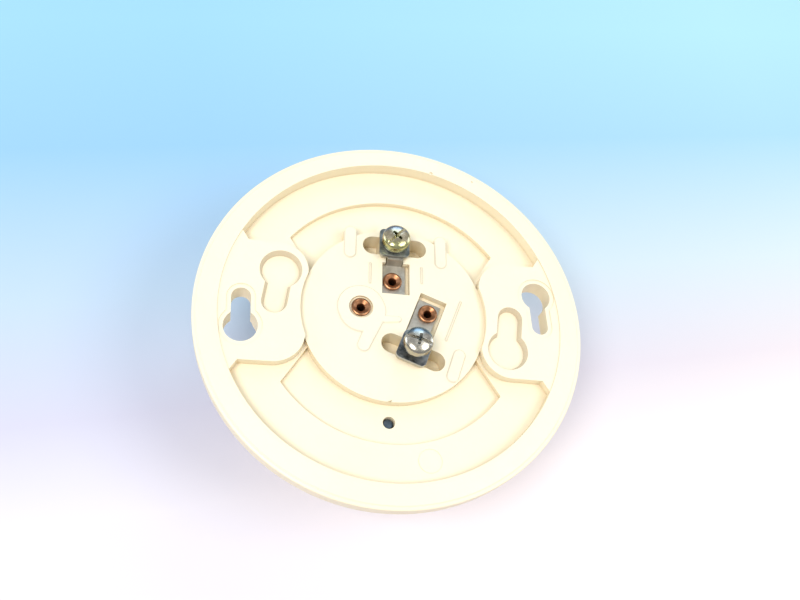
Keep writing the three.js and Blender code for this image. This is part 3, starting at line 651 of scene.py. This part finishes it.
def island_ribs():
    """Raised ribs and bosses with softly sloping sides, and a buttress level with the island."""
    low, foot, high = UPPER_SECTOR_FLOOR - 0.5, ISLAND_TOP, ISLAND_TOP + RIB_HEIGHT
    ribs = [
        # bars beside the terminals
        ((-13.5, 18.8), BAR_RADIUS, (-13.5, 26), BAR_RADIUS, 24),
        ((14.4, 17.9), BAR_RADIUS, (14.4, 25.4), BAR_RADIUS, 24),
        ((19.2, -12), BAR_RADIUS, (17, -18.6), BAR_RADIUS, 24),
        # fine ribs beside the strips
        ((20.2, 5.2), FINE_RIB_RADIUS, (15.4, -7.4), FINE_RIB_RADIUS, 8),
        ((-7.3, 9.2), FINE_RIB_RADIUS, (-7.3, 15.6), FINE_RIB_RADIUS, 8),
        ((8.4, 10.6), FINE_RIB_RADIUS, (8.4, 15.6), FINE_RIB_RADIUS, 8),
        # boss round the bare eyelet, with its two arms
        (BARE_EYELET, 6.9, (BARE_EYELET[0] + 0.4, 0), 6.9, 36),
        ((-5.2, -2.2), 2.2, (-8.8, -11), 1.8, 24),
        ((-3, -2.4), 1.1, (1.2, -2.1), 0.9, 12),
    ]
    raised = []
    for start, start_radius, end, end_radius, steps in ribs:
        rings = []
        for grow, z in ((RIB_SLOPE, low), (RIB_SLOPE, foot), (-RIB_SLOPE, high)):
            outline = capsule(start, start_radius + grow, end, end_radius + grow, steps)
            rings.append([(x, y, z) for x, y in outline])
        raised.append(mesh_object("rib", loft(rings)))
    buttress = capsule((-0.9, 20), 5.2, (-0.9, 25.1), 5.2)
    return raised + [prism(buttress, low, ISLAND_TOP)]


def wire_slots(grow, bottom, top):
    """Both wire slots' outlines, grown and made solid."""
    half, radius = SLOT_SPACING / 2, SLOT_RADIUS + grow
    outline = capsule((-half, 0), radius, (half, 0), radius)
    return [at_terminal(prism(outline, bottom, top), t, t["slot"]) for t in TERMINALS.values()]


def rectangle(left, near, right, far):
    return [(left, near), (right, near), (right, far), (left, far)]


def strip_pocket(terminal):
    """Cuts round a strip: wide over the tail, narrow where the riser climbs out."""
    half = STRIP_WIDTH / 2 + GAP
    spare = half + POCKET_SPARE
    left, right = (-half, spare) if terminal["side"] > 0 else (-spare, half)
    neck = NECK_WIDTH / 2 + GAP
    far, near = -terminal["pocket_end"], TAIL_START + GAP
    tail = rectangle(left + STRIP_SHIFT, far, right + STRIP_SHIFT, near)
    riser = rectangle(STRIP_SHIFT - neck, TAIL_START, STRIP_SHIFT + neck, GAP - SEAT_HALF)
    return [at_terminal(prism(outline, POCKET_FLOOR, ABOVE), terminal) for outline in (tail, riser)]


def blemishes():
    """A nick in the rim's inner edge, a pit beside it and the ring left by an ejector pin."""
    nick = disc(0.55, -0.35, ABOVE, (11.5, 49.3), 12)
    pit = disc(0.3, -RIM_DROP, ABOVE, (25.2, 48.2), 12)
    bottom, top, inner, outer = LOWER_FLOOR - 0.1, LOWER_FLOOR + 1, 3.2, 3.4
    ring = turned_bm([(inner, bottom), (outer, bottom), (outer, top), (inner, top)], 48)
    return [nick, pit, moved(mesh_object("cutter", ring), 0, (10.3, -43))]


def shade_walls(base):
    """Gives the drafted walls of the blind keyholes and the ribs' sides painted shade: darker copies of the
    ivory.
    """
    trace_step, reach, slack, steepest = 0.4, 0.7 * MM, 0.02, 0.9
    traces = []
    for hole in BLIND_KEYHOLES:
        outline = [Vector(point) for point in keyhole(*hole, -KEYHOLE_DRAFT / 2)]
        for start, end in zip(outline, outline[1:] + outline[:1]):
            parts = max(1, round((end - start).length / trace_step))
            traces += [start.lerp(end, part / parts) * MM for part in range(parts)]
    recess_shade_index, rib_shade_index = 1, 2
    for look in ("ivory_recess_shade", "ivory_rib_shade"):
        base.data.materials.append(LOOKS[look])
    lowest = (PAD_TOP - KEYHOLE_DEPTH - 0.1) * MM
    rib_foot, rib_top = (ISLAND_TOP + slack) * MM, (ISLAND_TOP + RIB_HEIGHT - slack) * MM
    for polygon in base.data.polygons:
        centre = polygon.center.xy
        if polygon.center.z < lowest or abs(polygon.normal.z) > steepest:
            continue
        if rib_foot < polygon.center.z < rib_top and centre.length < (ISLAND_RADIUS - 0.5) * MM:
            polygon.material_index = rib_shade_index
        elif min((centre - point).length for point in traces) < reach:
            polygon.material_index = recess_shade_index


def build_base():
    """The moulding: blank, recesses and keyholes, then ribs, wire slots, seats, pockets and holes."""
    terminals = list(TERMINALS.values())
    base = combine(base_blank(), back_recesses() + keyhole_cuts(), "DIFFERENCE")
    bosses = wire_slots(SLOT_WALL, SLOT_FLOOR - SLOT_WALL, ISLAND_TOP - 1)
    combine(base, island_ribs() + bosses, "UNION")
    combine(base, wire_slots(0, SLOT_FLOOR, ABOVE), "DIFFERENCE")
    seat = square_outline(SEAT_HALF, SEAT_CORNER)
    combine(base, [at_terminal(prism(seat, SLOT_FLOOR - 0.5, SEAT_TOP), t) for t in terminals], "UNION")
    holes = [cut for t in terminals for cut in strip_pocket(t)]
    holes += [disc(SHANK_RADIUS + 0.5, SLOT_FLOOR - 0.4, ABOVE, t["screw"]) for t in terminals]
    holes += [disc(EYELET_HOLE, HUB_FRONT - 3, ABOVE, place) for place in EYELETS.values()]
    holes.append(disc(COUNTERBORE_RADIUS, ISLAND_TOP - COUNTERBORE_DEPTH, ABOVE, BARE_EYELET))
    holes.append(disc(VENT_RADIUS, HUB_FRONT - 1, ABOVE, VENT))
    holes.append(disc(RELIEF_RADIUS, HUB_FRONT - 1, RELIEF_TOP))
    holes += blemishes()
    combine(base, holes, "DIFFERENCE")
    soften(base, MOULD_EDGE)
    finished(base, "base_moulding_fine", "base", ["base_moulding"], LOOKS["ivory_plastic"])
    shade_walls(base)


build_base()


# ---------------------------------------------------------------- terminals
FLAT_ANGLE = math.radians(1)    # facets that meet at less than this become one flat
STRIP_EDGE = 0.14
CLAMP_EDGE = 0.16
LOCK_EDGE = 0.1
EYELET_BORE = 1.0
EYELET_TUBE = 1.4
EYELET_FOOT = 2.5
EYELET_FLANGE = 2.85


def refined(node, body, slot_name, width, look=None):
    """A finer stand-in for a plain CAD plate: its facets joined into flats, its edges rounded."""
    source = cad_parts[node]
    bm = bmesh.new()
    bm.from_mesh(source.data)
    bmesh.ops.scale(bm, vec=(1 / MM,) * 3, verts=bm.verts)
    bmesh.ops.remove_doubles(bm, verts=bm.verts, dist=1e-3)
    bmesh.ops.dissolve_limit(bm, angle_limit=FLAT_ANGLE, verts=bm.verts, edges=bm.edges)
    obj = mesh_object(node, bm)
    soften(obj, width)
    return finished(obj, node + "_fine", body, [node], look or LOOKS[slot_name])


def threaded_shank(bottom, top):
    """A round bar with a right-handed helical thread that fades out at both ends."""
    around, per_turn = 48, 12
    rings = round((top - bottom) / THREAD_PITCH * per_turn)
    loops = []
    for ring in range(rings + 1):
        z = bottom + (top - bottom) * ring / rings
        fade = min(1.0, (z - bottom) / THREAD_RUN_IN, (top - z) / THREAD_RUN_OUT)
        loop = []
        for step in range(around):
            turn = step / around
            phase = (z / THREAD_PITCH - turn) % 1.0
            radius = SHANK_RADIUS - THREAD_DEPTH * abs(2 * phase - 1) * max(fade, 0.0)
            angle = 2 * math.pi * turn
            loop.append((radius * math.cos(angle), radius * math.sin(angle), z))
        loops.append(loop)
    return mesh_object("shank", loft(loops))


def drive_cuts(top):
    """A straight slot and a tapered cross recess."""
    slot_half, slot_depth = 0.45, 1.1
    # arm length, half width and height over the head's top, from the recess's bottom upwards
    cross = ((0.3, 0.2, -2.1), (1.75, 0.42, -0.1), (1.9, 0.55, 2))
    cuts = [prism(rectangle(-5, -slot_half, 5, slot_half), top - slot_depth, top + 1)]
    for turn in (0, 90):
        loops = []
        for arm, half, rise in cross:
            loops.append([(x, y, top + rise) for x, y in rectangle(-arm, -half, arm, half)])
        cuts.append(moved(mesh_object("cutter", loft(loops)), turn))
    return cuts


def screw_head(bottom):
    """A binder head: a straight side under a low elliptic crown."""
    shoulder = bottom + HEAD_SIDE
    crown_steps = 14
    angles = [math.pi / 2 * i / crown_steps for i in range(crown_steps)]
    crown = [(HEAD_RADIUS * math.cos(a), shoulder + HEAD_CROWN * math.sin(a)) for a in angles]
    side = rounded([(0, bottom), (HEAD_RADIUS, bottom, 0.3), (HEAD_RADIUS, shoulder)], 4)[:-1]
    return mesh_object("head", turned_bm(side + crown + [(0, shoulder + HEAD_CROWN)], 96))


def build_screw(side, slot_turn, slot_name):
    """The CAD screw's finer stand-in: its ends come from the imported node's box."""
    node = side + "_terminal_screw"
    low, high = (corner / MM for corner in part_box(node))
    bottom = high.z - HEAD_CROWN - HEAD_SIDE
    head = screw_head(bottom)
    combine(head, drive_cuts(high.z), "DIFFERENCE")
    soften(head, HEAD_EDGE)
    combine(head, [threaded_shank(low.z, bottom + 0.2)], "UNION")
    at_terminal(moved(head, slot_turn), TERMINALS[side])
    finished(head, node + "_fine", side + "_screw", [node], LOOKS[slot_name])


def build_eyelet(side):
    """A tubular rivet with a thin rolled edge and a funnel mouth."""
    node = side + "_eyelet"
    low, high = (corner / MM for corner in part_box(node))
    top, bottom = high.z, low.z
    outline = rounded([
        (EYELET_BORE, bottom + 0.2, 0.1), (1.5, bottom, 0.2),
        (EYELET_FOOT, bottom + 0.15, 0.25), (EYELET_FOOT, bottom + 0.6, 0.15),
        (EYELET_TUBE, bottom + 0.65), (EYELET_TUBE, top - 0.8, 0.1),
        (EYELET_FLANGE, top - 0.8, 0.25), (EYELET_FLANGE, top - 0.25, 0.3),
        (2.35, top, 0.25), (1.85, top - 0.35, 0.4), (1.25, top - 0.75, 0.35), (EYELET_BORE, top - 1.5, 0.3),
    ], 5)
    obj = moved(mesh_object(node, turned_bm(outline, 72)), 0, EYELETS[side])
    finished(obj, node + "_fine", "base", [node], LOOKS["copper"], 50)


# The drive slot's turn, the screw's look and the square plate's look, whose dark tones are a painted
# reflection.
TERMINAL_LOOKS = {"upper": (48, "yellow_zinc", "dark_reflection_plate"), "lower": (-175, "zinc", "blue_reflection_plate")}
for side, (slot_turn, slot_name, plate) in TERMINAL_LOOKS.items():
    refined(side + "_terminal_strip", "base", "nickel_strip", STRIP_EDGE)
    refined(side + "_clamp_washer", side + "_clamp", "zinc", CLAMP_EDGE, LOOKS[plate])
    refined(side + "_lock_washer", side + "_lock", "zinc", LOCK_EDGE)
    build_screw(side, slot_turn, slot_name)
for side in EYELETS:
    build_eyelet(side)


# ---------------------------------------------------------------- front shell and fusible element
SHELL_RADIUS = 38.6
SHELL_WALL = 0.9
SHELL_SKIRT = -10.5
SHELL_LEDGE = -18
DOME_RADIUS = 35.4
DOME_END = -34.2
DOME_FLAT = 11.5                # radius of the dome's flat end
GUIDE_HOLE = 5.5
COLLECTOR_END = -40.8
CUP_FLOOR = -39.7               # of the collector's cup for the alloy
CUP_TOP = -35.8
GUIDE_FLANGE = -34.5
GUIDE_FLOOR = -33.5
GUIDE_TOP = -23.5
PLUNGER_END = -39.2
PLUNGER_COLLAR = -25
PLUNGER_TOP = -18.6


def turned_piece(node, body, slot_name, outline, segments, place=(0, 0), look=None):
    """A finished solid of revolution that replaces a CAD node."""
    obj = moved(mesh_object(node, turned_bm(outline, segments)), 0, place)
    return finished(obj, node + "_fine", body, [node], look or LOOKS[slot_name])


def dome_curve(radius, start, end, flat_radius, steps=24):
    """Quarter of a squared-off ellipse from the dome's edge to its flat end."""
    angles = [math.pi / 2 * step / steps for step in range(steps + 1)]
    return [(flat_radius + (radius - flat_radius) * math.cos(a) ** 0.8, start + (end - start) * math.sin(a))
            for a in angles]


def build_shell():
    """The skirt, the ledge and the dome as one thin wall with a hole for the guide."""
    outside = list(reversed(dome_curve(DOME_RADIUS, SHELL_LEDGE - 1.6, DOME_END, DOME_FLAT)))
    inside = dome_curve(DOME_RADIUS - SHELL_WALL, SHELL_LEDGE - 1.4, DOME_END + SHELL_WALL, DOME_FLAT)
    step = rounded([
        (DOME_RADIUS, SHELL_LEDGE - 1.6), (DOME_RADIUS, SHELL_LEDGE - SHELL_WALL, 0.45),
        (SHELL_RADIUS, SHELL_LEDGE - SHELL_WALL, 0.9), (SHELL_RADIUS, SHELL_SKIRT, 0.3),
        (SHELL_RADIUS - SHELL_WALL, SHELL_SKIRT, 0.3), (SHELL_RADIUS - SHELL_WALL, SHELL_LEDGE, 0.2),
        (DOME_RADIUS - SHELL_WALL, SHELL_LEDGE, 0.4), (DOME_RADIUS - SHELL_WALL, SHELL_LEDGE - 1.4),
    ], 6)
    outline = [(GUIDE_HOLE, DOME_END)] + outside + step[1:-1] + inside + [(GUIDE_HOLE, DOME_END + SHELL_WALL)]
    turned_piece("front_shell", "base", "painted_shell", outline, 160)


def build_collector():
    """A thin disc on a short cup that holds the alloy."""
    end = COLLECTOR_END
    outline = rounded([
        (0, end), (4.1, end, 0.5), (4.7, end + 0.4, 0.5), (12.7, end + 0.4, 0.3), (13, end + 0.8, 0.3),
        (12.7, end + 1.2, 0.3), (4.4, end + 1.2, 0.4), (4.2, end + 1.6, 0.3), (4.2, CUP_TOP, 0.25),
        (2.9, CUP_TOP, 0.2), (2.9, CUP_FLOOR, 0.3), (0, CUP_FLOOR),
    ], 5)
    turned_piece("heat_collector", "collector", "aluminium", outline, 128)


def build_guide():
    """A flanged cup in which the plunger and its spring stand."""
    flange, floor, top = GUIDE_FLANGE, GUIDE_FLOOR, GUIDE_TOP
    outline = rounded([
        (1.9, flange - 1, 0.1), (7.5, flange - 1, 0.5), (7.5, flange, 0.2), (5.2, flange, 0.1),
        (5.2, top, 0.3), (3.6, top, 0.3), (3.6, floor, 0.2), (1.9, floor, 0.1),
    ], 4)
    turned_piece("plunger_guide", "base", "brass", outline, 96)


def build_plunger():
    """A pin with a collar for the spring to push on."""
    end, collar, top = PLUNGER_END, PLUNGER_COLLAR, PLUNGER_TOP
    outline = rounded([
        (0, end), (1.5, end, 0.2), (1.5, collar, 0.1), (3.2, collar, 0.15), (3.2, -24, 0.2),
        (1.6, -23.4, 0.3), (1.6, top, 0.4), (0, top),
    ], 4)
    turned_piece("plunger", "plunger", "brass", outline, 64)


def build_breather():
    """The plug low in the small round hole."""
    outline = rounded([(0, -8.1), (1.4, -8.1, 0.1), (1.4, -6.8, 0.2), (0, -6.7)], 4)
    turned_piece("breather_plug", "base", "steel", outline, 48, VENT, LOOKS["dark_steel"])


build_shell()
build_collector()
build_guide()
build_plunger()
build_breather()


# ---------------------------------------------------------------- carried-over inner pieces
# These stay as the CAD made them and only get a look.
CARRIED = {
    "contact_spring": "bronze",
    "moving_contact": "silver",
    "fixed_contact_bracket": "brass",
    "adjusting_contact_screw": "silver",
    "back_stop": "brass",
    "diaphragm_pusher": "phenolic",
    "diaphragm": "bronze",
    "gasket": "rubber",
    "plunger_spring": "steel",
    "fusible_alloy": "solder",
}
for node, slot_name in CARRIED.items():
    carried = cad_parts[node]
    carried.data.materials.clear()
    carried.data.materials.append(LOOKS[slot_name])


# ---------------------------------------------------------------- floor, light and camera
FLOOR_DROP = 0.0002             # metres under the lowest point of the part
CAMERA_PLACE = Vector((-39.85, -97.3, 198.76)) * MM
CAMERA_AIM = Vector((1.29, 3.17, 0)) * MM
CAMERA_ROLL = 24.85             # degrees
CAMERA_LENS = 35.0
CAMERA_SENSOR = 36
CAMERA_CLIP = 0.01              # metres
FLOOR_HALF = 2.5                # metres
FLOOR_TURN = -10                # degrees, of the tones' direction
FLOOR_NEAR = -0.05              # metres: where the tones begin and end along the floor
FLOOR_FAR = 0.15
FLOOR_RIGHT = 0.2
FLOOR_TONES = (
    (0.05, (0.75, 0.72, 0.79)), (0.2, (0.60, 0.59, 0.71)), (0.4, (0.49, 0.61, 0.75)),
    (0.7, (0.30, 0.53, 0.76)), (1.0, (0.33, 0.60, 0.78)),
)
# Painted light: the floor is brightened and whitened towards the right.
FLOOR_RIGHT_PAINTED_LIGHT = (1.3, 1.18, 1.0)
WORLD_COLOR = (0.93, 0.96, 1.0, 1)
WORLD_STRENGTH = 0.5
# Each light: name, place and aim in metres, size, power in watts and colour.
LIGHTS = (
    ("key", (-0.32, -0.26, 0.68), (0, 0, 0), 0.35, 4.1, (1.0, 0.985, 0.96)),
    ("fill", (0.42, -0.12, 0.62), (0, 0, 0), 0.4, 2.0, (1.0, 0.99, 0.97)),
    ("back_card", (0.1, 0.6, 0.4), (0, 0, 0), 0.4, 1.0, (0.58, 0.80, 1.0)),
    ("left_card", (-0.62, 0.16, 0.16), (0, 0, -0.04), 0.35, 0.9, (0.80, 0.90, 1.0)),
    ("right_card", (0.62, 0.2, 0.16), (0, 0, -0.04), 0.35, 0.6, (0.80, 0.90, 1.0)),
)


def measured(nodes, links, socket, start, end):
    """0 at start and 1 at end of a coordinate in metres."""
    node = nodes.new("ShaderNodeMapRange")
    node.inputs["From Min"].default_value = start
    node.inputs["From Max"].default_value = end
    links.new(socket, node.inputs["Value"])
    return node.outputs["Result"]


def build_floor():
    """A pale sheet whose tone runs from white near the camera to light blue far from it, with painted light
    that makes it brighter and whiter towards the right.
    """
    bm = bmesh.new()
    bmesh.ops.create_grid(bm, x_segments=1, y_segments=1, size=FLOOR_HALF)
    floor = mesh_object("floor", bm)
    floor.location.z = CAD_BOX[0].z - FLOOR_DROP
    material, nodes, links, shader = node_material("floor_paper")
    shader.inputs["Roughness"].default_value = 0.9
    shader.inputs["Specular IOR Level"].default_value = 0.1
    place = nodes.new("ShaderNodeTexCoord")
    turn = nodes.new("ShaderNodeMapping")
    turn.inputs["Rotation"].default_value = (0, 0, math.radians(FLOOR_TURN))
    links.new(place.outputs["Object"], turn.inputs["Vector"])
    split = nodes.new("ShaderNodeSeparateXYZ")
    links.new(turn.outputs["Vector"], split.inputs["Vector"])
    along = measured(nodes, links, split.outputs["Y"], FLOOR_NEAR, FLOOR_FAR)
    # painted light, stronger towards the right
    painted_light_share = measured(nodes, links, split.outputs["X"], FLOOR_NEAR, FLOOR_RIGHT)
    tone = ramp(nodes, links, along, FLOOR_TONES)
    tone = tinted(nodes, links, tone, painted_light_share, FLOOR_RIGHT_PAINTED_LIGHT)
    links.new(tone, shader.inputs["Base Color"])
    floor.data.materials.append(material)


def area_light(name, place, aim, size, power, color):
    data = bpy.data.lights.new(name, "AREA")
    data.shape = "DISK"
    data.size = size
    data.energy = power
    data.color = color
    light = bpy.data.objects.new(name, data)
    light.location = place
    light.rotation_mode = "QUATERNION"
    light.rotation_quaternion = (Vector(aim) - Vector(place)).to_track_quat("-Z", "Y")
    bpy.context.scene.collection.objects.link(light)


def build_world():
    world = bpy.data.worlds.new("studio")
    world.use_nodes = True
    background = world.node_tree.nodes["Background"]
    background.inputs["Color"].default_value = WORLD_COLOR
    background.inputs["Strength"].default_value = WORLD_STRENGTH
    bpy.context.scene.world = world


def build_camera():
    data = bpy.data.cameras.new("camera")
    data.lens = CAMERA_LENS
    data.sensor_width = CAMERA_SENSOR
    data.clip_start = CAMERA_CLIP
    camera = bpy.data.objects.new("camera", data)
    camera.location = CAMERA_PLACE
    camera.rotation_mode = "QUATERNION"
    look = (CAMERA_AIM - CAMERA_PLACE).to_track_quat("-Z", "Y")
    camera.rotation_quaternion = look @ Quaternion((0, 0, 1), math.radians(CAMERA_ROLL))
    bpy.context.scene.collection.objects.link(camera)
    bpy.context.scene.camera = camera


build_floor()
for light in LIGHTS:
    area_light(*light)
build_world()
build_camera()
bpy.context.scene.view_settings.view_transform = "Standard"
